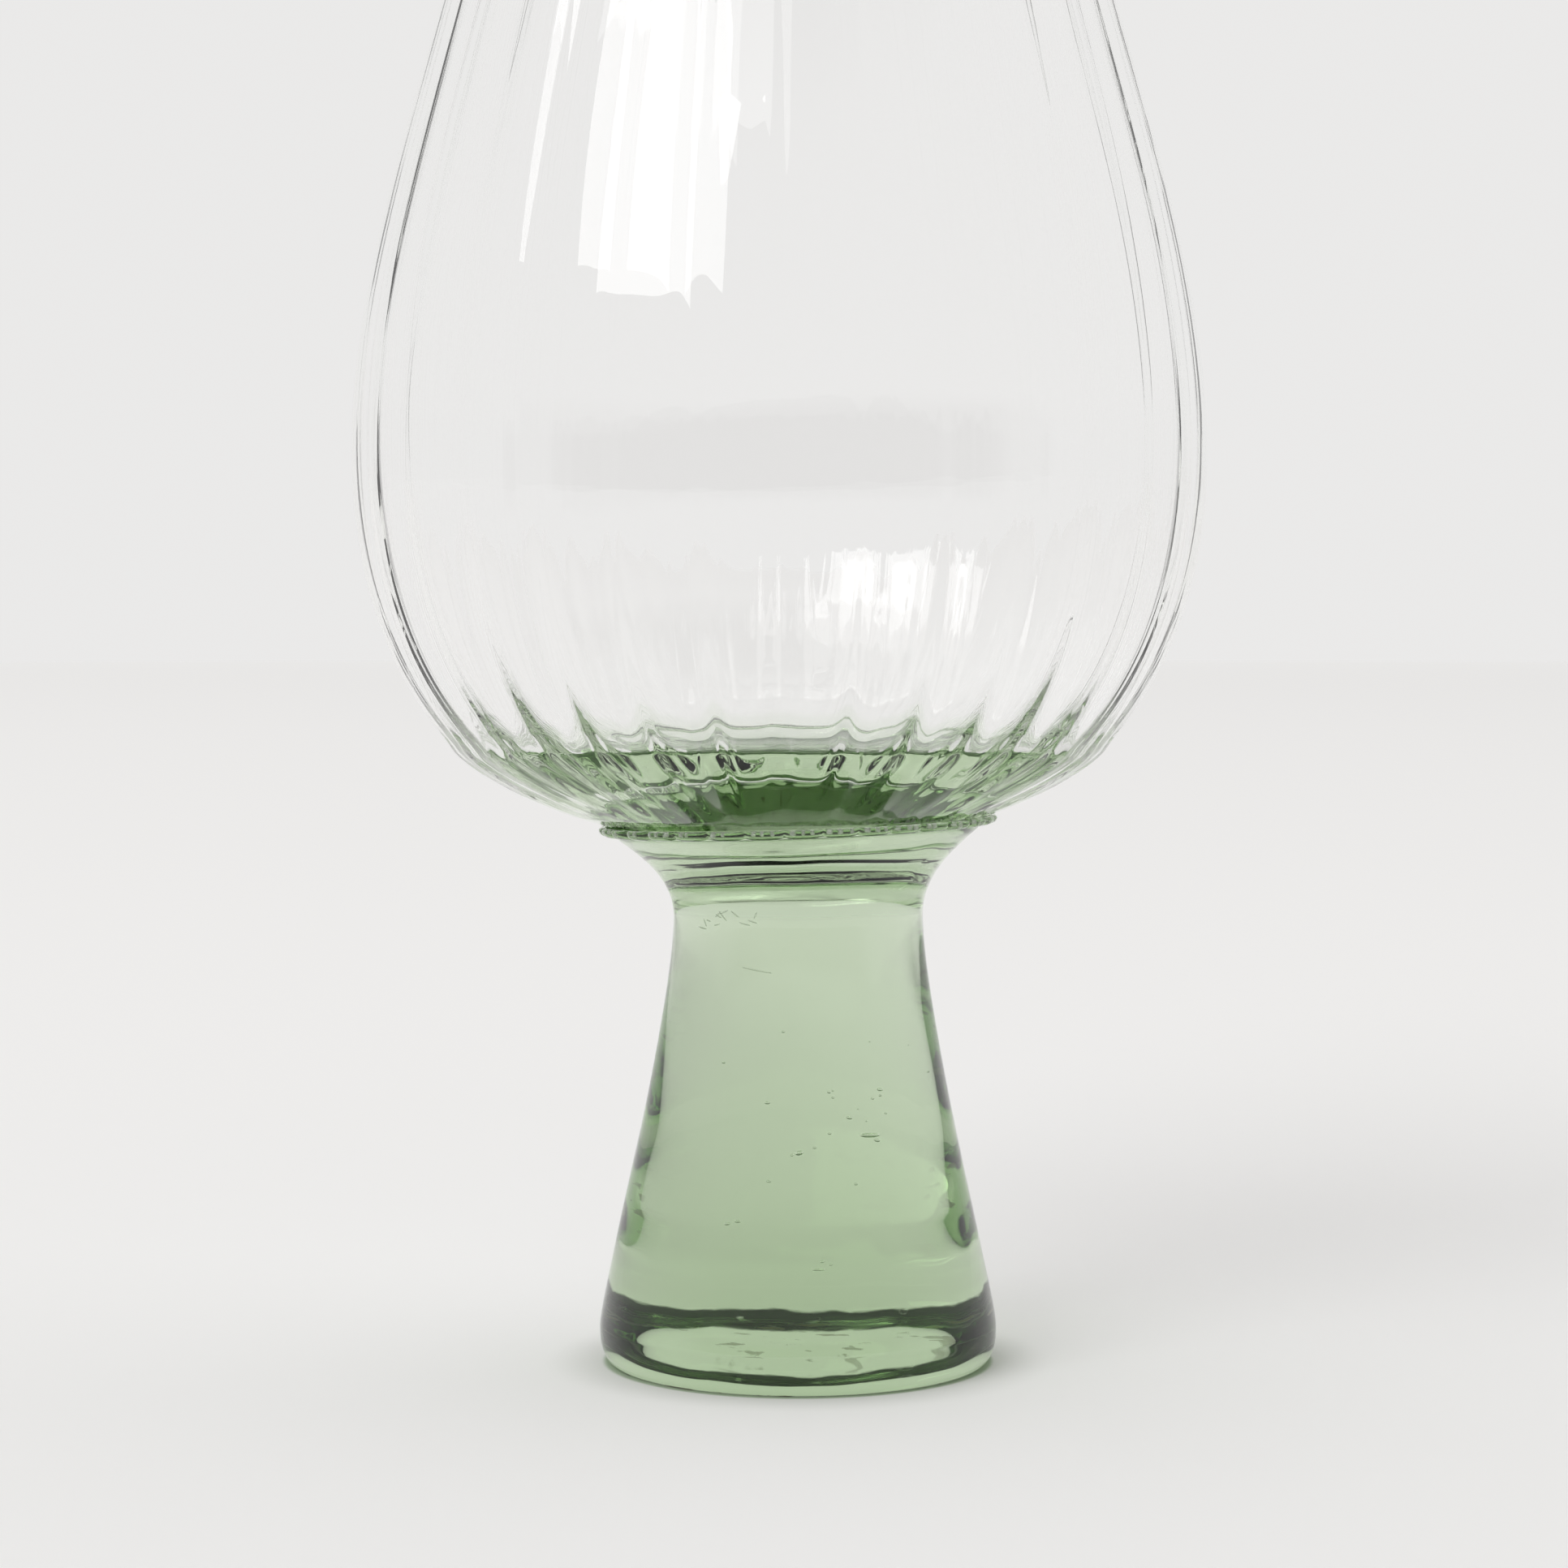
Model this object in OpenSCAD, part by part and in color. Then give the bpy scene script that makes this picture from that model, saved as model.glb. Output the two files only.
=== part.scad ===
// Wine glass: a clear, ribbed, round-bellied bowl on a solid green stem.
// The stem is one piece with its foot, and a ring of beads runs round the joint.
// The stem's green glass spreads out inside the thick clear floor of the bowl.
// The bowl stands a little off the stem's axis, as on a hand-made glass.
// Millimetres, +Z up, origin at the centre of the foot's flat underside.

/* [Bowl] */
// Height of the whole glass, table to rim
total_h = 175; // [165:1:190]
// Outside diameter of the bowl at its belly
bowl_d = 90; // [86:0.5:96]
// Height of the belly above the table
belly_z = 96; // [94:1:104]
// Outside diameter of the rim
rim_d = 58; // [54:1:68]
// Wall thickness at the rim and the belly
wall = 1.3; // [1:0.1:2]
// Glass thickness at the middle of the bowl's floor
floor_t = 6.6; // [6:0.1:8]
// How far the bowl stands off the stem's axis, along X
bowl_shift = -2; // [-2.4:0.1:2.4]

/* [Stem] */
// Height of the middle of the bowl's underside above the table
joint_z = 54; // [53:0.1:55]
// Diameter of the stem at its waist, just under the flare
waist_d = 26.5; // [20:0.5:30]
// Height of the waist above the table
waist_z = 47.5; // [46:0.1:48.5]
// Diameter of the foot at its widest
foot_d = 42.2; // [38:0.1:48]
// Width of the foot's rounded lower edge, seen from below
foot_round = 1.5; // [1:0.1:3]
// Height of the foot's rounded lower edge
foot_rise = 3.4; // [1.5:0.1:3.5]

/* [Green glass inside the floor] */
// Diameter of the green glass inside the bowl's floor
plug_d = 52; // [48:0.5:54]
// Clear glass left over the green, under the wine
plug_cover = 0.6; // [0.5:0.1:2]
// Clear glass left under the green, outside the joint
plug_skin = 0.6; // [0.5:0.1:1.2]

/* [Beaded collar] */
// Number of beads round the collar
beads = 34; // [24:1:40]
// Diameter across the beads
collar_d = 41.7; // [41.2:0.1:43]
// Height of the collar at its outer edge
collar_h = 1; // [0.9:0.05:1.5]
// Radius of one bead
bead_r = 1.9; // [1.7:0.05:2.2]

/* [Hidden] */
$fn = 96;
curve_steps = 16;
rim_steps = 8;
foot_steps = 6;

// Bowl: the outline turns up at the heel, between the round floor and the side
heel = [bowl_d / 2 - 10.3, joint_z + 11.35];
heel_turn = [59, 3.4];
floor_pull = 0.51;
belly_pull = 20;

// The inside turns up at its own heel, further in, so the floor is thick and flat
inner_heel = [bowl_d / 2 - 12.15 - wall, joint_z + 12.35];
inner_turn = [34, 2.1];
inner_floor_pull = 0.28;
inner_belly_pull = 20.3;
belly_pull_up = 25;
rim_turn = [96, 30];

// Joint: the off-centre bowl has a round bottom, so the collar lies tilted
tilt = -1.05 * bowl_shift;
seat_z = joint_z + 3.5 - collar_h;
neck_r = 18.6;
neck_root = 1;
collar_web_r = collar_d / 2 - 1.1;
bead_ring_r = collar_d / 2 - bead_r;
seat_r = 19.9;

// Stem
foot_edge_z = 4;
foot_flat_r = foot_d / 2 - foot_round;
flare_z = seat_z + 0.4;
far = 60;

green = [0.62, 0.72, 0.5, 0.75];
clear = [0.9, 0.93, 0.92, 0.4];

// A point on a cubic curve, and the curve as the points that follow its first
function on_curve(p, t) = pow(1 - t, 3) * p[0] + 3 * pow(1 - t, 2) * t * p[1]
    + 3 * (1 - t) * t * t * p[2] + pow(t, 3) * p[3];
function curve(p, steps) = [for (i = [1 : steps]) on_curve(p, i / steps)];
function toward(turn) = [cos(turn[0]), sin(turn[0])] * turn[1];
function reversed(list) = [for (i = [len(list) - 1 : -1 : 0]) list[i]];
function lifted(list, dz) = [for (p = list) p + [0, dz]];

// The floor's meridian, from the middle to the heel
function floor_line(base, heel, turn, pull) =
    concat([base], curve([base, [heel[0] * pull, base[1]], heel - toward(turn), heel],
        curve_steps));

// The side's meridian, on from the heel past the belly to the rim
function side_line(heel, turn, pull, side) =
    let (belly = [bowl_d / 2 - side, belly_z],
         rim = [rim_d / 2 - side, total_h - wall / 2])
    concat(
        curve([heel, heel + toward(turn), belly - [0, pull], belly], curve_steps),
        curve([belly, belly + [0, belly_pull_up], rim - toward(rim_turn), rim], curve_steps));

outer_floor = floor_line([0, joint_z], heel, heel_turn, floor_pull);
inner_floor = floor_line([0, joint_z + floor_t], inner_heel, inner_turn, inner_floor_pull);
outer_line = concat(outer_floor, side_line(heel, heel_turn, belly_pull, 0));
inner_line = concat(inner_floor, side_line(inner_heel, inner_turn, inner_belly_pull, wall));

// The rim is fire-polished to a half round
rim_round = [for (i = [1 : rim_steps - 1])
    [rim_d / 2 - wall / 2, total_h - wall / 2] + toward([180 * i / rim_steps, wall / 2])];

// The stem's meridian: foot edge, long hollow taper, waist, flare
function stem_line() =
    let (foot = [foot_d / 2, foot_edge_z],
         waist = [waist_d / 2, waist_z],
         seat = [seat_r, flare_z])
    concat(
        [for (i = [0 : foot_steps])
            [foot_flat_r + foot_round * sin(90 * i / foot_steps),
                foot_rise * (1 - cos(90 * i / foot_steps))]],
        [foot],
        curve([foot, foot + [-0.25, 4.4], waist - [0, 10.7], waist], curve_steps),
        curve([waist, waist + [0, 5.2], seat - [1, 1.3], seat], curve_steps));

// The collar's frame: on its seat, leaning with the round bottom of the bowl
module at_joint() {
    translate([0, 0, seat_z]) rotate([0, -tilt, 0]) children();
}

// A solid of revolution round the bowl's own axis
module bowl_turned(points) {
    translate([bowl_shift, 0, 0]) rotate_extrude() polygon(points);
}

// The space inside the bowl's outer surface, lifted by a little
module bowl_envelope(lift = 0) {
    bowl_turned(lifted(concat(outer_line, [[0, total_h - wall / 2]]), lift));
}

// The space under the bowl's inside floor, down to the table
module under_floor(lift) {
    bowl_turned(lifted(concat(inner_floor, [[inner_heel[0], 0], [0, 0]]), lift));
}

// Everything above the collar's seat
module above_seat() {
    at_joint() cylinder(r = far, h = far);
}

// The stem's neck, up through the collar's bore, with a narrowing root inside the flare
module neck() {
    at_joint() rotate_extrude()
        polygon([[0, -neck_root], [neck_r - 2 * neck_root, -neck_root], [neck_r, 0],
            [neck_r, far], [0, far]]);
}

// The green glass inside the bowl's floor: a neck through the joint, then a wide disc
module plug() {
    intersection() {
        under_floor(-plug_cover);
        union() {
            neck();
            intersection() {
                translate([bowl_shift, 0, joint_z]) cylinder(d = plug_d, h = far);
                bowl_envelope(plug_skin);
            }
        }
    }
}

// The stem up to its seat, with the green glass above it
module stem_body() {
    union() {
        difference() {
            rotate_extrude()
                polygon(concat([[0, 0]], stem_line(), [[seat_r, far], [0, far]]));
            above_seat();
        }
        plug();
    }
}

module bowl() {
    color(clear) difference() {
        bowl_turned(concat(outer_line, rim_round, reversed(inner_line)));
        stem_body();
    }
}

module beaded_collar() {
    color(green) difference() {
        intersection() {
            at_joint() union() {
                cylinder(r = collar_web_r, h = 2 * collar_h);
                for (i = [0 : beads - 1])
                    rotate(360 * (i + 0.5) / beads) translate([bead_ring_r, 0, collar_h])
                        sphere(r = bead_r);
            }
            above_seat();
        }
        neck();
        bowl_envelope();
    }
}

module stem() {
    color(green) stem_body();
}

bowl();
beaded_collar();
stem();
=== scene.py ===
"""Wine glass: a clear ribbed bowl, a beaded collar and a solid green stem. Metres, +Z up."""

import math

import bpy
import numpy as np
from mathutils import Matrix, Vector


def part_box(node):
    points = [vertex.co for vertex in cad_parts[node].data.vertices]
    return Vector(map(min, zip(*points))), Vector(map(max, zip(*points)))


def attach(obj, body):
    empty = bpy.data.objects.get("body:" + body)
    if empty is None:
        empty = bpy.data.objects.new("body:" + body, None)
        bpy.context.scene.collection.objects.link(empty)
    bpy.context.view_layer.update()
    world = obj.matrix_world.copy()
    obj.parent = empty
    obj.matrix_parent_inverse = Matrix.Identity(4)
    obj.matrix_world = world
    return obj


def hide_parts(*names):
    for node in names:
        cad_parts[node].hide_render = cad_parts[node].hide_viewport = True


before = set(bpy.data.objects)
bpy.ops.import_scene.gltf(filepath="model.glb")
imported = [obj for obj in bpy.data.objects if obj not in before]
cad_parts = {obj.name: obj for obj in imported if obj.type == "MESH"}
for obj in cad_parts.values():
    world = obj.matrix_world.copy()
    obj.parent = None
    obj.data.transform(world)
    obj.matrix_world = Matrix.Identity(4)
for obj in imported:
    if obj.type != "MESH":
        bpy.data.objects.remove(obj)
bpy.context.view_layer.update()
MM = 0.001

# ---------------------------------------------------------------- sizes of the glass
bowl_low, bowl_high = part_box("bowl")
stem_low, stem_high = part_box("stem")
collar_low, collar_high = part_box("beaded_collar")

# The bowl. Its outside and its inside each turn up at a heel, between the floor and the side.
BOWL_X = (bowl_low.x + bowl_high.x) / 2
BOWL_R = (bowl_high.x - bowl_low.x) / 2
RIM_Z = bowl_high.z
RIM_R = 29 * MM
BELLY_Z = 96 * MM
WALL = 1.3 * MM
FLOOR_T = 6.6 * MM
JOINT_Z = 54.0 * MM
HEEL = (BOWL_R - 10.3 * MM, JOINT_Z + 11.35 * MM)
HEEL_UP = (math.radians(59), 3.4 * MM)
INNER_HEEL = (BOWL_R - 13.45 * MM, JOINT_Z + 12.35 * MM)
INNER_UP = (math.radians(34), 2.1 * MM)
RIM_UP = (math.radians(96), 30 * MM)
RIBS = 32

# The green glass inside the bowl's floor, with thin clear glass over and under it.
PLUG_R = (stem_high.x - stem_low.x) / 2
PLUG_COVER = 0.6 * MM
PLUG_SKIN = 0.6 * MM
PLUG_TOP = JOINT_Z + FLOOR_T - PLUG_COVER

# The stem and its foot.
FOOT_R = 21.1 * MM
FOOT_ROUND = 1.5 * MM
FOOT_RISE = 3.4 * MM
FOOT_EDGE_Z = 4 * MM
BACK_RISE = 1.6 * MM
# The next height is the top of the painted shade band low on the back of the foot's edge.
BACK_SHADE_TOP = 0.9 * MM
WAIST_R = 13.25 * MM
WAIST_Z = 47.5 * MM
LEAN_Z = 38 * MM

# The collar, which lies tilted under the off-centre bowl.
COLLAR_R = (collar_high.x - collar_low.x) / 2
COLLAR_H = 1.0 * MM
NECK_R = 18.6 * MM
COLLAR_TOP_R = COLLAR_R - 0.35 * MM
SEAT_R = 19.9 * MM
SEAT_Z = JOINT_Z + 3.5 * MM - COLLAR_H
TILT = -1.05 * math.radians(BOWL_X / MM)
BEADS = 34
GAP = 0.01 * MM

# How finely the meshes are divided.
OUTER_STEPS = (34, 36, 40)
INNER_STEPS = (34, 36, 40)
SURFACE_STEPS = (200, 4, 4)
RIM_STEPS = 8
BOWL_TURNS = RIBS * 12
STEM_TURNS = 256
BEAD_TURNS = BEADS * 20
BEAD_STEPS = 20

# Glass. Light is absorbed by depth, in the tint and the density given here.
GLASS_IOR = 1.5
CLEAR_TINT, CLEAR_DENSITY = (0.55, 0.72, 0.4), 3.0
GREEN_TINT, GREEN_DENSITY = (0.34, 0.58, 0.17), 26.0
BEAD_DENSITY = 28.0 * 20
AIR_CLEARNESS = 0.35
# The next number is how clear the glass stays in the worn marks and in the painted shade band on the foot.
MARKS_AND_SHADE_CLEARNESS = 0.2
UNMARKED = (1, 1, 1, 1)
WORN_BROWN = (0.36, 0.32, 0.2, 1)
# The next colour is painted shade: the dark green band low round the back of the foot's edge.
BACK_SHADE_GREEN = (0.02, 0.038, 0.014, 1)

# The studio: a pale floor and room, dimmer on the camera's side, and two windows.
FLOOR_R = 6.0
FLOOR_FRONT = 0.75
FLOOR_DROP = 0.05 * MM
PAPER = (0.84, 0.837, 0.832, 1)
PAPER_LIGHT = (1, 0.995, 0.99, 1)
# Painted contact shadow: the colour of the thin ring on the floor round the foot.
CONTACT_SHADOW_COLOUR = (0.42, 0.5, 0.38, 1)
GLOW = 0.105
FAR_GLOW = 0.1
ROOM = 0.825
ROOM_PALE = (ROOM, ROOM * 0.993, ROOM * 0.985, 1)
ROOM_LOW = (0.42, 0.4, 0.39, 1)
ROOM_HIGH = (0.16, 0.15, 0.14, 1)
WINDOW = 3.6
WINDOW_AZIMUTH = 37
WINDOW_DISTANCE = 12

# The camera, a little above the joint and looking slightly down.
SENSOR, LENS = 36, 84.5
CAMERA_AT = (-1.5 * MM, -390 * MM, 77 * MM)
CAMERA_DOWN = 2.3


# ---------------------------------------------------------------- curves
def cubic(points, steps):
    """The points of a cubic curve after its first."""
    t = (np.arange(steps) + 1)[:, None] / steps
    p = [np.array(q, float) for q in points]
    return (1 - t) ** 3 * p[0] + 3 * (1 - t) ** 2 * t * p[1] + 3 * (1 - t) * t * t * p[2] + t**3 * p[3]


def toward(angle, length):
    """A step of some length in a direction, as (radius, height)."""
    return np.array([math.cos(angle), math.sin(angle)]) * length


def bowl_line(base_z, heel, up, floor_pull, belly_r, belly_pull, rim_r, steps):
    """A meridian of the bowl (radius, height) from the middle of the floor to the rim."""
    base = np.array([0.0, base_z])
    heel = np.array(heel)
    belly = np.array([belly_r, BELLY_Z])
    rim = np.array([rim_r, RIM_Z - WALL / 2])
    up = toward(*up)
    return np.vstack([
        [base],
        cubic([base, (heel[0] * floor_pull, base_z), heel - up, heel], steps[0]),
        cubic([heel, heel + up, belly - (0, belly_pull), belly], steps[1]),
        cubic([belly, belly + (0, 25 * MM), rim - toward(*RIM_UP), rim], steps[2]),
    ])


def outer_line(steps):
    """The bowl's outside."""
    return bowl_line(JOINT_Z, HEEL, HEEL_UP, 0.51, BOWL_R, 20 * MM, RIM_R, steps)


def inner_line(steps):
    """The bowl's inside."""
    return bowl_line(JOINT_Z + FLOOR_T, INNER_HEEL, INNER_UP, 0.28, BOWL_R - WALL, 20.3 * MM,
                     RIM_R - WALL, steps)


def line_normals(line):
    """Unit normals of a meridian, to the right of its direction."""
    step = np.gradient(line, axis=0)
    step /= np.linalg.norm(step, axis=1)[:, None]
    return np.column_stack([step[:, 1], -step[:, 0]])


def ripple(rng, turn, height, orders, wavelength, size, count=12):
    """A smooth seeded waviness over angle and height, about size in depth."""
    total = np.zeros(np.broadcast(turn, height).shape)
    for _ in range(count):
        k = int(rng.integers(1, orders + 1))
        m = 2 * math.pi / (wavelength * rng.uniform(0.7, 1.8)) * rng.choice([-1, 1])
        total += np.sin(k * turn + m * height + rng.uniform(0, 2 * math.pi))
    return total * size / math.sqrt(count)


def ramp(value, start, end):
    """0 at start, 1 at end, and straight between."""
    return np.clip((value - start) / (end - start), 0, 1)


def full_turn(count):
    """Angles once round, as one row."""
    return np.linspace(0, 2 * np.pi, count, endpoint=False)[None, :]


# ---------------------------------------------------------------- meshes
def ball_faces(rows, around):
    """Faces of a ball that look inward: rows of points, then its top and its bottom point."""
    faces = []
    for i in range(rows - 1):
        for j in range(around):
            k = (j + 1) % around
            faces.append((i * around + j, i * around + k, (i + 1) * around + k, (i + 1) * around + j))
    last, top = (rows - 1) * around, rows * around
    for j in range(around):
        k = (j + 1) % around
        faces += [(top, k, j), (top + 1, last + j, last + k)]
    return faces


def air(center, wide, deep, tall, turn=0.0, rows=5, around=10):
    """Points and faces of a small flattened hollow, turned about the line of sight."""
    down = np.pi * np.arange(1, rows + 1) / (rows + 1)
    side = 2 * np.pi * np.arange(around) / around
    ball = [(math.sin(a) * math.cos(b), math.sin(a) * math.sin(b), math.cos(a)) for a in down for b in side]
    ball = np.array(ball + [(0, 0, 1), (0, 0, -1)]) * (wide, deep, tall)
    x = ball[:, 0] * math.cos(turn) - ball[:, 2] * math.sin(turn)
    z = ball[:, 0] * math.sin(turn) + ball[:, 2] * math.cos(turn)
    return np.column_stack([x, ball[:, 1], z]) + center, ball_faces(rows, around)


def ring_quads(ring, following, turns):
    """The quads between two rings of points."""
    return [(ring * turns + t, ring * turns + (t + 1) % turns,
             following * turns + (t + 1) % turns, following * turns + t) for t in range(turns)]


def cap_fan(ring, turns, middle):
    """The triangles that close a ring to its middle point. Ring 0 is closed from below."""
    fan = [(ring * turns + t, ring * turns + (t + 1) % turns, middle) for t in range(turns)]
    return [(b, a, m) for a, b, m in fan] if ring == 0 else fan


def revolved(name, grid, caps=(), close=False, hollows=()):
    """A closed mesh from rings of points (rings, turns, 3): capped, or joined end to end."""
    rings, turns = grid.shape[:2]
    vertices = [tuple(p) for p in grid.reshape(-1, 3)]
    faces = []
    for ring in range(rings if close else rings - 1):
        faces += ring_quads(ring, (ring + 1) % rings, turns)
    for ring, cap in zip((0, rings - 1), caps):
        faces += cap_fan(ring, turns, len(vertices))
        vertices.append(tuple(cap))
    for points, shell in hollows:
        first = len(vertices)
        vertices += [tuple(p) for p in points]
        faces += [tuple(first + i for i in face) for face in shell]
    mesh = bpy.data.meshes.new(name)
    mesh.from_pydata(vertices, [], faces)
    mesh.shade_smooth()
    mesh.validate()
    piece = bpy.data.objects.new(name, mesh)
    bpy.context.scene.collection.objects.link(piece)
    return piece


def mark(piece, name, values, domain="POINT"):
    """Stores one number for each vertex or face."""
    layer = piece.data.attributes.new(name, "FLOAT", domain)
    layer.data.foreach_set("value", np.asarray(values, np.float32))


def spun(line_r, line_z, turn, shift_x=0.0):
    """Rings of points round the vertical axis at shift_x."""
    x = line_r * np.cos(turn) + shift_x
    y = line_r * np.sin(turn)
    return np.stack([x, y, line_z], axis=-1)


def level_ring(turn, center_x, radius, height, lift=0.0):
    """A ring of points round center_x, laid on a surface and lifted."""
    ring = spun(np.full_like(turn, radius), np.zeros_like(turn), turn, center_x)
    ring[..., 2] = height(ring[..., 0], ring[..., 1]) + lift
    return ring


# ---------------------------------------------------------------- surfaces at the joint
UNDER_LINE = outer_line(SURFACE_STEPS)[:SURFACE_STEPS[0] + 1]
FLOOR_LINE = inner_line(SURFACE_STEPS)[:SURFACE_STEPS[0] + 1]


def bowl_floor(x, y):
    """Height of the bowl's inside floor over a point near the middle."""
    return np.interp(np.hypot(x - BOWL_X, y), FLOOR_LINE[:, 0], FLOOR_LINE[:, 1])


def bowl_underside(x, y):
    """Height of the bowl's round outline over a point near the joint."""
    return np.interp(np.hypot(x - BOWL_X, y), UNDER_LINE[:, 0], UNDER_LINE[:, 1])


def seat_height(x, y):
    """Height of the tilted seat between the stem and the collar."""
    return SEAT_Z + x * math.tan(TILT) + 0 * y


def plug_rings(turn):
    """The green glass inside the floor: up the neck, out to its edge and in over the top."""
    rings = [level_ring(turn, 0, NECK_R, bowl_underside, t * PLUG_SKIN) for t in (0, 0.5, 1)]
    for radius in np.linspace(NECK_R - BOWL_X + 0.5 * MM, PLUG_R, 6):
        rings.append(level_ring(turn, BOWL_X, radius, bowl_underside, PLUG_SKIN))
    low, high = rings[-1], level_ring(turn, BOWL_X, PLUG_R, bowl_floor, -PLUG_COVER)
    rings += [low + (high - low) * t for t in (0.25, 0.5, 0.75, 1)]
    for radius in np.linspace(PLUG_R, 0.4 * MM, 28)[1:]:
        rings.append(level_ring(turn, BOWL_X, radius, bowl_floor, -PLUG_COVER))
    return np.concatenate(rings)


# ---------------------------------------------------------------- bowl
def rib_wave(turn, phase, sharp):
    """Ribs with broad flats and narrow creases: 1 at a crease and below 0 between."""
    return np.exp(sharp * (np.cos(RIBS * turn + phase) - 1)) * 2 - 1


def rib_place(line):
    """How far below and how far above the belly each point of a meridian is, from 0 to 1."""
    z = line[:, 1]
    return ramp(z, BELLY_Z, JOINT_Z), ramp(z, BELLY_Z, RIM_Z)


def rib_room(line, start, end):
    """1 where the ribs are whole, 0 inside radius start and close to the smooth rim."""
    free = np.clip((RIM_Z - line[:, 1] - 2 * WALL) / (12 * MM), 0, 1)
    return ramp(line[:, 0], start, end) * free * free * (3 - 2 * free)


def ribbed(line, depth, normal, turn, wave, lumps):
    """Rings of one side of the bowl, pushed along its normals by the ribs and the lumps."""
    push = depth[:, None] * wave + lumps
    r = line[:, 0][:, None] + push * normal[:, 0][:, None]
    z = line[:, 1][:, None] + push * normal[:, 1][:, None]
    return spun(r, z, turn, BOWL_X)


def bowl_sides(turn):
    """The ribbed rings of the outside and of the inside, both from the floor to the rim."""
    rng = np.random.default_rng(11)
    uneven = ripple(rng, turn, np.zeros((1, 1)), 7, 1.0, 0.16)
    strength = 1 + ripple(rng, turn, np.zeros((1, 1)), 14, 1.0, 0.3)
    outer = outer_line(OUTER_STEPS)[1:]
    outer = outer[outer[:, 0] > NECK_R - BOWL_X + 0.5 * MM]
    inner = inner_line(INNER_STEPS)[1:]

    def side(line, depth, room, sense, crease, lump_length, lump_size):
        z = line[:, 1][:, None]
        wave = rib_wave(turn, uneven + ripple(rng, turn, z, 3, 0.12, 0.12), crease)
        lumps = ripple(rng, turn, z, 5, lump_length, lump_size) * room[:, None]
        return ribbed(line, depth * MM * room, line_normals(line) * sense, turn, strength * wave, lumps)

    low, high = rib_place(outer)
    outer_room = rib_room(outer, 22 * MM, 27 * MM)
    outside = side(outer, 0.07 + 0.04 * low + 0.09 * high, outer_room, 1, 1.8, 0.05, 0.03 * MM)
    low, high = rib_place(inner)
    inner_room = rib_room(inner, 17 * MM, 25 * MM)
    inside = side(inner, 0.07 + 0.16 * low**2 + 0.02 * high, inner_room, -1, 1.6, 0.03, 0.06 * MM)
    return outside, inside


def rim_rings(turn):
    """The half round of the rim, from its outside over to its inside."""
    angles = np.pi * np.arange(1, RIM_STEPS) / RIM_STEPS
    middle = np.array([RIM_R - WALL / 2, RIM_Z - WALL / 2])
    return np.stack([level_ring(turn, BOWL_X, r, lambda x, y, z=z: z)[0]
                     for r, z in (middle + toward(a, WALL / 2) for a in angles)])


def make_bowl():
    """The clear bowl, with a socket for the green glass in its thick floor."""
    turn = full_turn(BOWL_TURNS)
    outside, inside = bowl_sides(turn)
    socket = plug_rings(turn)[::-1]
    grid = np.concatenate([socket, outside, rim_rings(turn), inside[::-1]])
    piece = revolved("ribbed_bowl", grid, ((BOWL_X, 0, PLUG_TOP), (BOWL_X, 0, JOINT_Z + FLOOR_T)))
    mark(piece, "fused", bowl_cover(piece, len(socket), len(outside)))
    return piece


def bowl_cover(piece, socket_rings, outside_rings):
    """How far each vertex lies inside other glass: over 0 where it touches, below 0 in the open."""
    points = np.array([v.co for v in piece.data.vertices])
    cover = np.full(len(points), -10 * MM)
    under = slice(0, (socket_rings + outside_rings) * BOWL_TURNS)
    cover[under] = COLLAR_TOP_R - np.hypot(points[under, 0], points[under, 1])
    cover[:(socket_rings - 1) * BOWL_TURNS] = 10 * MM
    cover[-2] = 10 * MM
    return cover


# ---------------------------------------------------------------- stem
def stem_seeds(rng):
    """Three larger seeds of air in the stem, and a scatter of small ones."""
    found = [
        air((0.29 * FOOT_R, -0.3 * FOOT_R, 24.5 * MM), 0.95 * MM, 0.4 * MM, 0.26 * MM),
        air((0, -0.3 * FOOT_R, 22.7 * MM), 0.4 * MM, 0.35 * MM, 0.26 * MM, 0.3),
        air((0.08 * FOOT_R, -0.35 * FOOT_R, 10.6 * MM), 0.6 * MM, 0.3 * MM, 0.12 * MM),
    ]
    for _ in range(26):
        place = (rng.normal(0.15, 0.25) * FOOT_R, -rng.uniform(0, 0.5) * FOOT_R, rng.uniform(6, 36) * MM)
        size = rng.uniform(0.06, 0.17) * MM
        found.append(air(place, size * rng.uniform(1, 2), size, size, rng.uniform(-0.3, 0.3)))
    return found


def stem_air():
    """Seeds in the stem, a scratch under its top and tool marks on the neck."""
    rng = np.random.default_rng(21)
    found = stem_seeds(rng)
    found.append(air((-4.2 * MM, -0.9 * WAIST_R, 42.6 * MM), 1.6 * MM, 0.05 * MM, 0.07 * MM, -0.2))
    for _ in range(12):
        x = rng.uniform(-0.75, -0.32) * WAIST_R
        z = WAIST_Z + rng.uniform(-0.8, 1.2) * MM
        y = -math.sqrt((WAIST_R - 0.35 * MM) ** 2 - x * x)
        found.append(air((x, y, z), rng.uniform(0.3, 0.7) * MM, 0.06 * MM, 0.07 * MM,
                         rng.uniform(-1.2, 1.2)))
    return found


def stem_line():
    """The stem's meridian (radius, height): underside, rounded edge, taper, waist and flare."""
    foot = np.array([FOOT_R, FOOT_EDGE_Z])
    waist = np.array([WAIST_R, WAIST_Z])
    seat = np.array([SEAT_R, SEAT_Z + 0.4 * MM])
    flat = FOOT_R - FOOT_ROUND
    base = [(flat * s, 0) for s in (0.15, 0.3, 0.45, 0.6, 0.75, 0.85, 0.93)]
    edge = [(flat + FOOT_ROUND * math.sin(a), FOOT_RISE * (1 - math.cos(a)))
            for a in np.linspace(0, math.pi / 2, 13)]
    return np.vstack([
        base, edge, [foot],
        cubic([foot, foot + (-0.25 * MM, 4.4 * MM), waist - (0, 10.7 * MM), waist], 64),
        cubic([waist, waist + (0, 5.2 * MM), seat - (1 * MM, 1.3 * MM), seat], 36)])


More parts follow.
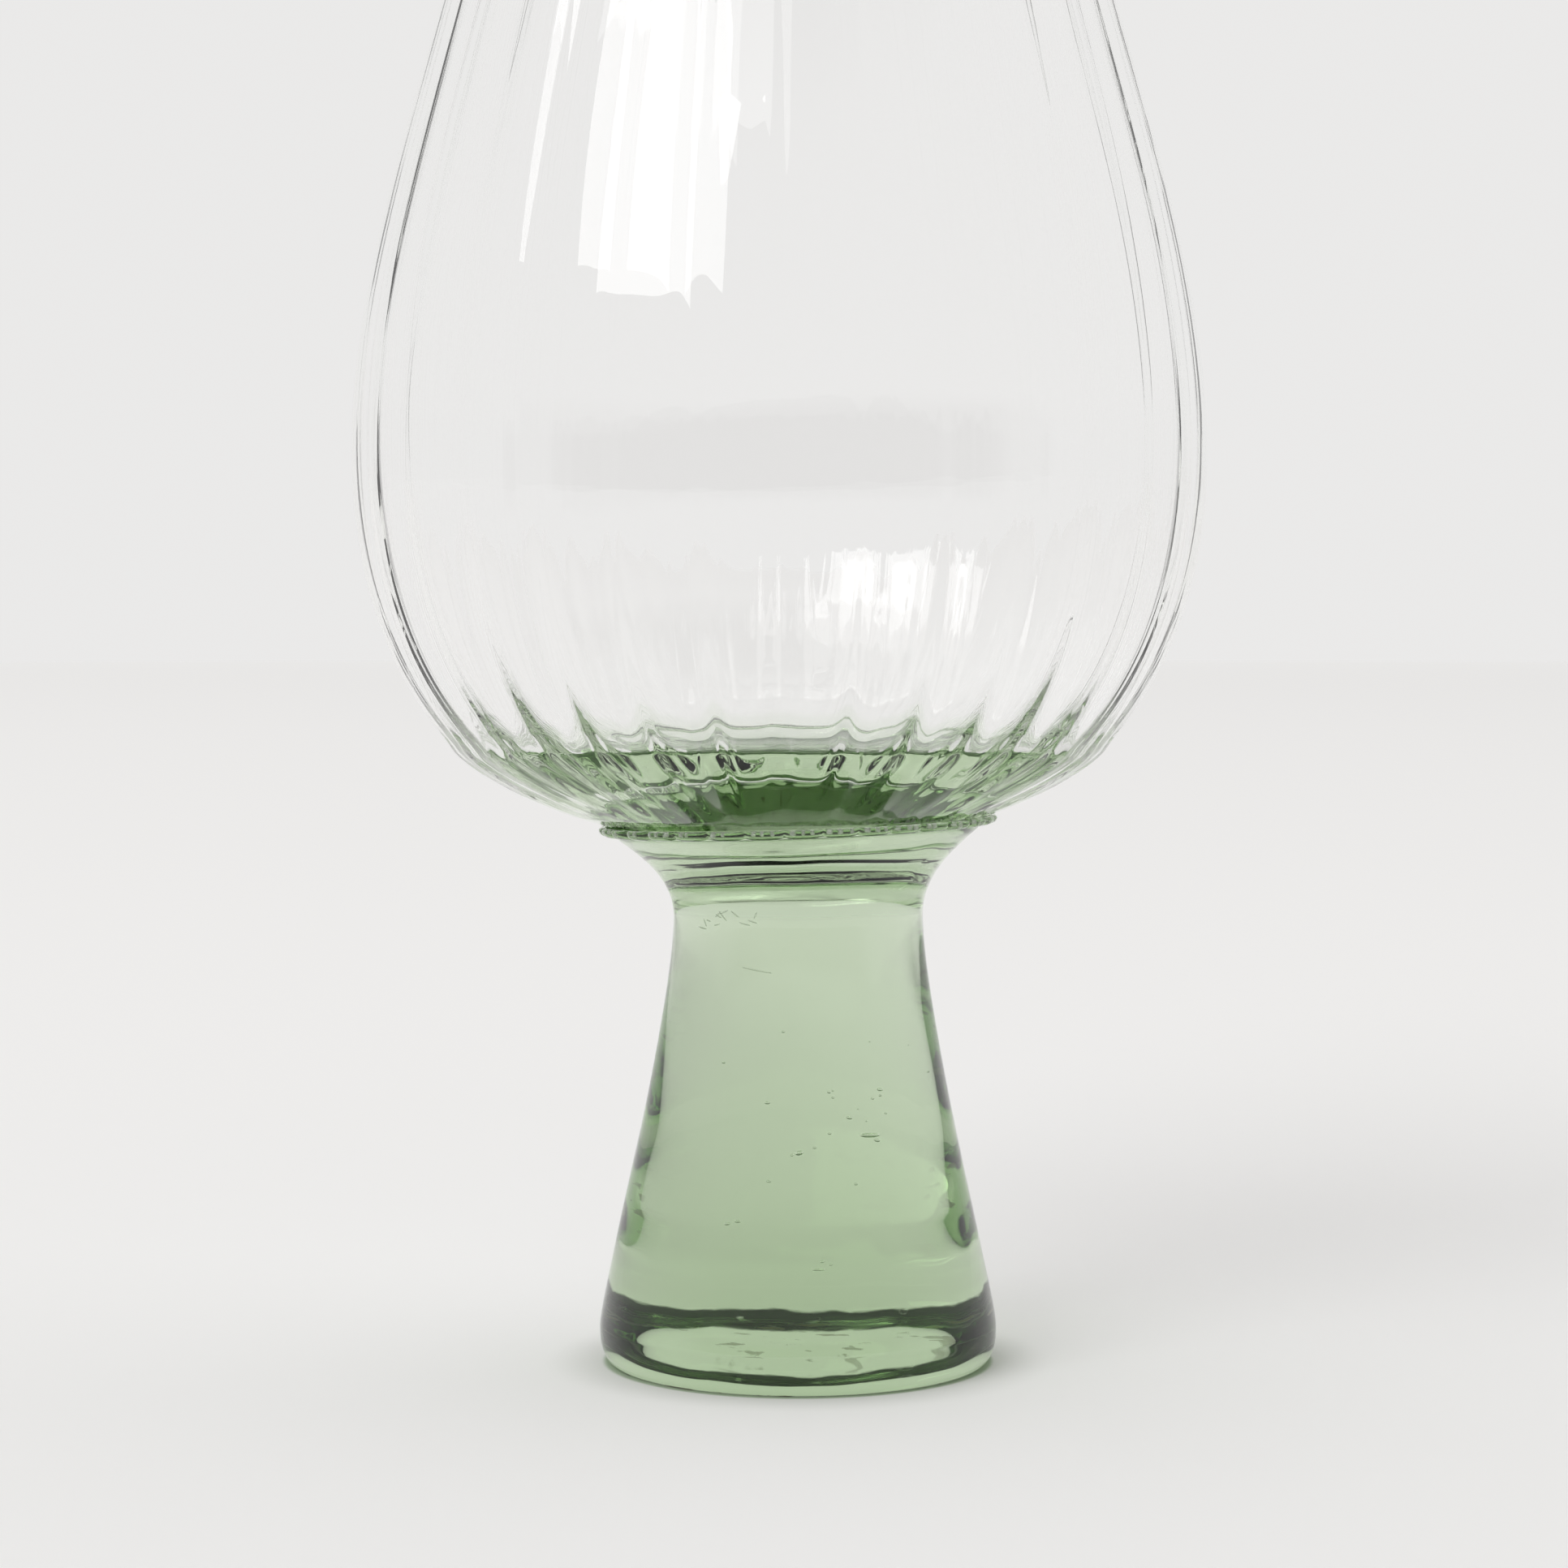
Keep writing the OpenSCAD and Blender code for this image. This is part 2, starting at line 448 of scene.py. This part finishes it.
def stem_wall(turn):
    """The stem's rings: uneven by hand, leaning to the bowl, with the foot's edge high at the back."""
    rng = np.random.default_rng(5)
    line = stem_line()
    r, z = line[:, 0][:, None], line[:, 1][:, None]
    free = ramp(z, 0, 4 * MM) * ramp(z, SEAT_Z, SEAT_Z - 3 * MM)
    bumps = ripple(rng, turn, z, 9, 0.03, 0.05 * MM) + ripple(rng, turn, z, 24, 0.02, 0.012 * MM)
    wall = spun(r + bumps * free, np.broadcast_to(z, (len(line), STEM_TURNS)), turn)
    wall[..., 2] += wall[..., 0] * math.tan(TILT) * ramp(z, LEAN_Z, SEAT_Z) ** 2
    back = np.clip(np.sin(turn), 0, 1) ** 2
    wall[..., 2] += BACK_RISE * back * np.interp(z, [0, FOOT_RISE, 3 * FOOT_RISE], [0, 1, 0])
    wall[-1, :, 2] = seat_height(wall[-1, :, 0], wall[-1, :, 1])
    return wall


def make_stem():
    """The green stem with its foot, its seat and the green glass inside the bowl's floor."""
    turn = full_turn(STEM_TURNS)
    wall = stem_wall(turn)
    seat = [level_ring(turn, 0, radius, seat_height) for radius in (SEAT_R - 0.4 * MM, NECK_R)]
    grid = np.concatenate([wall] + seat + [plug_rings(turn)])
    piece = revolved("solid_stem", grid, ((0, 0, 0), (BOWL_X, 0, PLUG_TOP)), hollows=stem_air())
    first, rings = (len(wall) - 1) * STEM_TURNS, (len(grid) - 1) * STEM_TURNS
    fused = np.zeros(len(piece.data.polygons))
    fused[first:rings] = 1
    fused[rings + STEM_TURNS:rings + 2 * STEM_TURNS] = 1
    mark(piece, "fused", fused, "FACE")
    return piece


# ---------------------------------------------------------------- collar
def bead_air(rng, turn, across):
    """Two or three flat blobs of air just under the top of each bead."""
    found = []
    for i in np.nonzero(np.diff(np.sign(across)) > 0)[0]:
        for k in range(int(rng.integers(2, 4))):
            angle = turn[i] + (k - 1 + rng.uniform(-0.2, 0.2)) * 0.26 * 2 * math.pi / BEADS
            radius = COLLAR_TOP_R + rng.uniform(0.1, 0.2) * MM
            x, y = radius * math.cos(angle), radius * math.sin(angle)
            z = float(bowl_underside(x, y)) - rng.uniform(0.38, 0.44) * MM
            points, faces = air(np.zeros(3), rng.uniform(0.2, 0.36) * MM, 0.3 * MM,
                                rng.uniform(0.11, 0.15) * MM, rng.uniform(-0.25, 0.25))
            spin = np.array([[-math.sin(angle), -math.cos(angle), 0],
                             [math.cos(angle), -math.sin(angle), 0], [0, 0, 1]])
            found.append((points @ spin.T + (x, y, z), faces))
    return found


def bead_rings(turn, across, size):
    """The collar's outside, from its top down to the seat, swollen into flattened beads."""
    bead = np.sqrt(np.clip(1 - np.abs(across) ** 3.2, 0, 1))
    top = level_ring(turn, 0, COLLAR_TOP_R, bowl_underside, -GAP)
    bottom = level_ring(turn, 0, SEAT_R, seat_height, GAP)
    rings = [top]
    for t in np.arange(1, BEAD_STEPS) / BEAD_STEPS:
        ring = top * (1 - t) + bottom * t
        reach = 0.5 + 0.5 * bead
        swell = np.clip(1 - np.abs(2 * np.minimum(t / reach, 1) - 1) ** 2.6, 0, 1) ** 0.5
        out = (1.05 * bead - 0.1) * size * swell * MM
        ring[..., 0] += out * np.cos(turn)
        ring[..., 1] += out * np.sin(turn)
        ring[..., 2] = np.minimum(ring[..., 2], bowl_underside(ring[..., 0], ring[..., 1]) - GAP)
        rings.append(ring)
    return rings + [bottom]


def make_collar():
    """A ring between bowl and stem whose outside is a row of flattened beads."""
    rng = np.random.default_rng(3)
    turn = full_turn(BEAD_TURNS)
    count = turn * BEADS / (2 * np.pi) + 0.12 * np.sin(2 * turn + 0.8) + 0.05 * np.sin(5 * turn)
    across = count % 1 * 2 - 1
    size = 1 + ripple(rng, turn, np.zeros((1, 1)), 9, 1.0, 0.06)
    bore_top = level_ring(turn, 0, NECK_R + GAP, bowl_underside, -GAP)
    bore_bottom = level_ring(turn, 0, NECK_R + GAP, seat_height, GAP)
    grid = np.concatenate([bore_top] + bead_rings(turn, across, size) + [bore_bottom])[::-1]
    piece = revolved("bead_ring", grid, close=True, hollows=bead_air(rng, turn[0], across[0]))
    fused = np.ones(len(piece.data.polygons))
    fused[BEAD_TURNS:(BEAD_STEPS + 1) * BEAD_TURNS] = 0
    fused[len(grid) * BEAD_TURNS:] = -1
    mark(piece, "fused", fused, "FACE")
    return piece


# ---------------------------------------------------------------- shader nodes
def combine(tree, operation, first, second):
    """The result of a math node on two outputs, or on an output and a number."""
    node = tree.nodes.new("ShaderNodeMath")
    node.operation = operation
    for value, socket in zip((first, second), node.inputs):
        if isinstance(value, float):
            socket.default_value = value
        else:
            tree.links.new(value, socket)
    return node.outputs[0]


def ranged(tree, value, start, end, low=0.0, high=1.0):
    """Low at start, high at end, straight between and level beyond."""
    node = tree.nodes.new("ShaderNodeMapRange")
    for name, number in (("From Min", start), ("From Max", end), ("To Min", low), ("To Max", high)):
        node.inputs[name].default_value = number
    tree.links.new(value, node.inputs["Value"])
    return node.outputs[0]


def eased(tree, value, start, end, high=1.0):
    """0 at start, high at end, and smooth between."""
    output = ranged(tree, value, start, end, 0.0, high)
    output.node.interpolation_type = "SMOOTHSTEP"
    return output


def noise(tree, place, scale, detail):
    """A noise value over a place."""
    node = tree.nodes.new("ShaderNodeTexNoise")
    node.inputs["Scale"].default_value = scale
    node.inputs["Detail"].default_value = detail
    tree.links.new(place, node.inputs["Vector"])
    return node.outputs["Fac"]


def length(tree, vector):
    """The length of a vector."""
    node = tree.nodes.new("ShaderNodeVectorMath")
    node.operation = "LENGTH"
    tree.links.new(vector, node.inputs[0])
    return node.outputs["Value"]


def axes(tree, vector):
    """The X, Y and Z of a vector."""
    node = tree.nodes.new("ShaderNodeSeparateXYZ")
    tree.links.new(vector, node.inputs[0])
    return node.outputs


def blend(tree, mask, first, second):
    """The first colour, or a node's colour, with the second over it where the mask is 1."""
    mix = tree.nodes.new("ShaderNodeMix")
    mix.data_type = "RGBA"
    if isinstance(first, tuple):
        mix.inputs["A"].default_value = first
    else:
        tree.links.new(first, mix.inputs["A"])
    mix.inputs["B"].default_value = second
    tree.links.new(mask, mix.inputs["Factor"])
    return mix.outputs["Result"]


# ---------------------------------------------------------------- glass materials
def glass(name, tint, density, fused_over):
    """Clear solid glass with light absorbed by depth. Where it is fused it doesn't bend light."""
    material = bpy.data.materials.new(name)
    material.use_nodes = True
    tree = material.node_tree
    shader = tree.nodes["Principled BSDF"]
    shader.inputs["Base Color"].default_value = UNMARKED
    shader.inputs["Roughness"].default_value = 0.0
    shader.inputs["Transmission Weight"].default_value = 1.0
    shader.inputs["IOR"].default_value = GLASS_IOR
    touching = combine(tree, "GREATER_THAN", fused_mark(tree), fused_over)
    tree.links.new(ranged(tree, touching, 0.0, 1.0, GLASS_IOR, 1.0), shader.inputs["IOR"])
    volume = tree.nodes.new("ShaderNodeVolumeAbsorption")
    volume.inputs["Color"].default_value = (*tint, 1)
    volume.inputs["Density"].default_value = density
    tree.links.new(volume.outputs[0], tree.nodes["Material Output"].inputs["Volume"])
    return material


def fused_mark(tree):
    """The number that the mesh stores where it touches other glass."""
    node = tree.nodes.new("ShaderNodeAttribute")
    node.attribute_name = "fused"
    return node.outputs["Fac"]


def pale_air(material):
    """Makes the air in the beads pale. Its faces are marked -1."""
    tree = material.node_tree
    clearness = ranged(tree, fused_mark(tree), -0.9, -0.8, AIR_CLEARNESS, 1.0)
    tree.links.new(clearness, tree.nodes["Principled BSDF"].inputs["Transmission Weight"])


def handling(material, wave, depth):
    """Faint waviness, and patches where the polish is a little rough."""
    tree = material.node_tree
    shader = tree.nodes["Principled BSDF"]
    place = tree.nodes.new("ShaderNodeTexCoord").outputs["Object"]
    bump = tree.nodes.new("ShaderNodeBump")
    bump.inputs["Strength"].default_value = 0.4
    bump.inputs["Distance"].default_value = depth
    tree.links.new(noise(tree, place, 1 / wave, 2.0), bump.inputs["Height"])
    tree.links.new(bump.outputs[0], shader.inputs["Normal"])
    patches = noise(tree, place, 0.4 / wave, 6.0)
    tree.links.new(ranged(tree, patches, 0.5, 0.8, 0.0, 0.03), shader.inputs["Roughness"])


def foot_marks(tree, place, height):
    """1 in the small worn marks on the foot's underside."""
    under = eased(tree, height, 0.2 * MM, 0.05 * MM)
    spots = eased(tree, noise(tree, place, 420.0, 5.0), 0.575, 0.63)
    return combine(tree, "MULTIPLY", under, spots)


def painted_edge_shade(tree, place, across):
    """1 in the painted shade band low round the back of the foot's edge; the band's border is ragged and it
    has gaps.
    """
    fray = noise(tree, place, 700.0, 4.0)
    frayed = combine(tree, "ADD", combine(tree, "MULTIPLY", fray, 0.8 * MM), across["Z"])
    low = eased(tree, frayed, BACK_SHADE_TOP + 0.6 * MM, BACK_SHADE_TOP + 0.3 * MM)
    outer = eased(tree, length(tree, place), FOOT_R - 1.9 * MM, FOOT_R - 1.5 * MM)
    behind = eased(tree, across["Y"], 1 * MM, 9 * MM)
    whole = eased(tree, fray, 0.7, 0.62)
    band = combine(tree, "MULTIPLY", low, outer)
    return combine(tree, "MULTIPLY", band, combine(tree, "MULTIPLY", behind, whole))


def wear_and_shade_on_foot(material):
    """Worn marks under the foot, and painted shade in a band low on the back of its edge; both are less
    clear and darker.
    """
    tree = material.node_tree
    shader = tree.nodes["Principled BSDF"]
    place = tree.nodes.new("ShaderNodeTexCoord").outputs["Object"]
    across = axes(tree, place)
    marks = foot_marks(tree, place, across["Z"])
    back_shade = painted_edge_shade(tree, place, across)
    worn = blend(tree, marks, UNMARKED, WORN_BROWN)
    # Painted shade: the dark green band over the back of the foot's edge, on top of the worn marks.
    tree.links.new(blend(tree, back_shade, worn, BACK_SHADE_GREEN), shader.inputs["Base Color"])
    marks_and_shade = combine(tree, "MAXIMUM", back_shade, marks)
    tree.links.new(ranged(tree, marks_and_shade, 0.0, 1.0, 1.0, MARKS_AND_SHADE_CLEARNESS), shader.inputs["Transmission Weight"])


# ---------------------------------------------------------------- studio
def floor_glow(tree, away):
    """A faint light of the floor's own: none under the glass, then even, and more far off."""
    near = eased(tree, away, FOOT_R, 1.3 * FOOT_R, GLOW)
    far = ranged(tree, away, 1.0, 2 * FLOOR_R - FLOOR_FRONT, 0.0, FAR_GLOW)
    return combine(tree, "ADD", near, far)


def painted_contact_shadow(tree, away):
    """1 in the thin painted contact shadow where the foot's edge comes down to the floor."""
    inside = eased(tree, away, FOOT_R - 1.6 * MM, FOOT_R - 1.3 * MM)
    outside = eased(tree, away, FOOT_R - 0.1 * MM, FOOT_R - 0.8 * MM)
    return combine(tree, "MULTIPLY", inside, outside)


def studio_paper():
    """Matt pale paper with a faint glow and a thin painted contact shadow, in green, round the foot."""
    paper = bpy.data.materials.new("studio_paper")
    paper.use_nodes = True
    tree = paper.node_tree
    shader = tree.nodes["Principled BSDF"]
    shader.inputs["Roughness"].default_value = 0.9
    shader.inputs["Specular IOR Level"].default_value = 0.0
    shader.inputs["Emission Color"].default_value = PAPER_LIGHT
    away = length(tree, tree.nodes.new("ShaderNodeNewGeometry").outputs["Position"])
    tree.links.new(floor_glow(tree, away), shader.inputs["Emission Strength"])
    # The floor's colour carries a painted contact shadow round the foot.
    tree.links.new(blend(tree, painted_contact_shadow(tree, away), PAPER, CONTACT_SHADOW_COLOUR), shader.inputs["Base Color"])
    return paper


def make_floor():
    """A wide pale tabletop that ends a little behind the camera."""
    bpy.ops.mesh.primitive_circle_add(vertices=128, radius=FLOOR_R, fill_type="TRIFAN",
                                      location=(0, FLOOR_R - FLOOR_FRONT, -FLOOR_DROP))
    floor = bpy.context.object
    floor.name = "studio_floor"
    floor.data.materials.append(studio_paper())


def make_window(elevation, width, height, strength):
    """A soft window far off behind the camera and to its left, at an elevation in degrees."""
    a, e = math.radians(WINDOW_AZIMUTH), math.radians(elevation)
    away = Vector((-math.sin(a) * math.cos(e), -math.cos(a) * math.cos(e), math.sin(e)))
    lamp = bpy.data.lights.new("window", "AREA")
    lamp.shape = "RECTANGLE"
    lamp.size = width
    lamp.size_y = height
    lamp.energy = strength * math.pi * width * height
    holder = bpy.data.objects.new("window", lamp)
    bpy.context.scene.collection.objects.link(holder)
    holder.location = away * WINDOW_DISTANCE
    holder.rotation_mode = "QUATERNION"
    holder.rotation_quaternion = away.to_track_quat("Z", "Y")
    holder.visible_camera = False


def make_room():
    """A pale surround, dimmer low down and overhead on the camera's side."""
    world = bpy.data.worlds.new("room")
    bpy.context.scene.world = world
    world.use_nodes = True
    tree = world.node_tree
    look = axes(tree, tree.nodes.new("ShaderNodeTexCoord").outputs["Generated"])
    low = combine(tree, "MULTIPLY", eased(tree, look["Z"], 0.16, 0.10), eased(tree, look["Y"], -0.25, -0.6))
    high = combine(tree, "MULTIPLY", eased(tree, look["Z"], 0.6, 0.7), eased(tree, look["Y"], -0.1, -0.3))
    lower = blend(tree, low, ROOM_PALE, ROOM_LOW)
    tree.links.new(blend(tree, high, lower, ROOM_HIGH), tree.nodes["Background"].inputs["Color"])
    tree.nodes["Background"].inputs["Strength"].default_value = 1.0


def make_camera():
    """The camera in front of the glass, without depth of field."""
    data = bpy.data.cameras.new("camera")
    data.sensor_width = SENSOR
    data.lens = LENS
    data.clip_start = 0.01
    data.clip_end = 20
    camera = bpy.data.objects.new("camera", data)
    camera.location = CAMERA_AT
    camera.rotation_euler = (math.radians(90 - CAMERA_DOWN), 0, 0)
    bpy.context.scene.collection.objects.link(camera)
    bpy.context.scene.camera = camera


def set_render():
    """Plain colours, and enough bounces for light to get through the thick glass."""
    scene = bpy.context.scene
    scene.view_settings.view_transform = "Standard"
    scene.cycles.max_bounces = 40
    scene.cycles.transmission_bounces = 40
    scene.cycles.glossy_bounces = 16
    scene.cycles.diffuse_bounces = 4
    scene.cycles.transparent_max_bounces = 16
    scene.cycles.use_denoising = True


# ---------------------------------------------------------------- the glass
clear = glass("clear_glass", CLEAR_TINT, CLEAR_DENSITY, 0.0)
green = glass("green_glass", GREEN_TINT, GREEN_DENSITY, 0.5)
beady = glass("bead_glass", GREEN_TINT, BEAD_DENSITY, 0.5)
handling(clear, 14 * MM, 0.02 * MM)
handling(green, 11 * MM, 0.02 * MM)
handling(beady, 3 * MM, 0.02 * MM)
wear_and_shade_on_foot(green)
pale_air(beady)

bowl = make_bowl()
stem = make_stem()
collar = make_collar()
bowl.data.materials.append(clear)
stem.data.materials.append(green)
collar.data.materials.append(beady)

for piece, node, finish in ((bowl, "bowl", "clear_glass"), (stem, "stem", "green_glass"),
                            (collar, "beaded_collar", "green_glass")):
    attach(piece, "root")
    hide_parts(node)

make_floor()
make_window(31.5, 7.6, 4.0, WINDOW)
make_window(50, 9.5, 4.3, 0.4 * WINDOW)
make_room()
make_camera()
set_render()
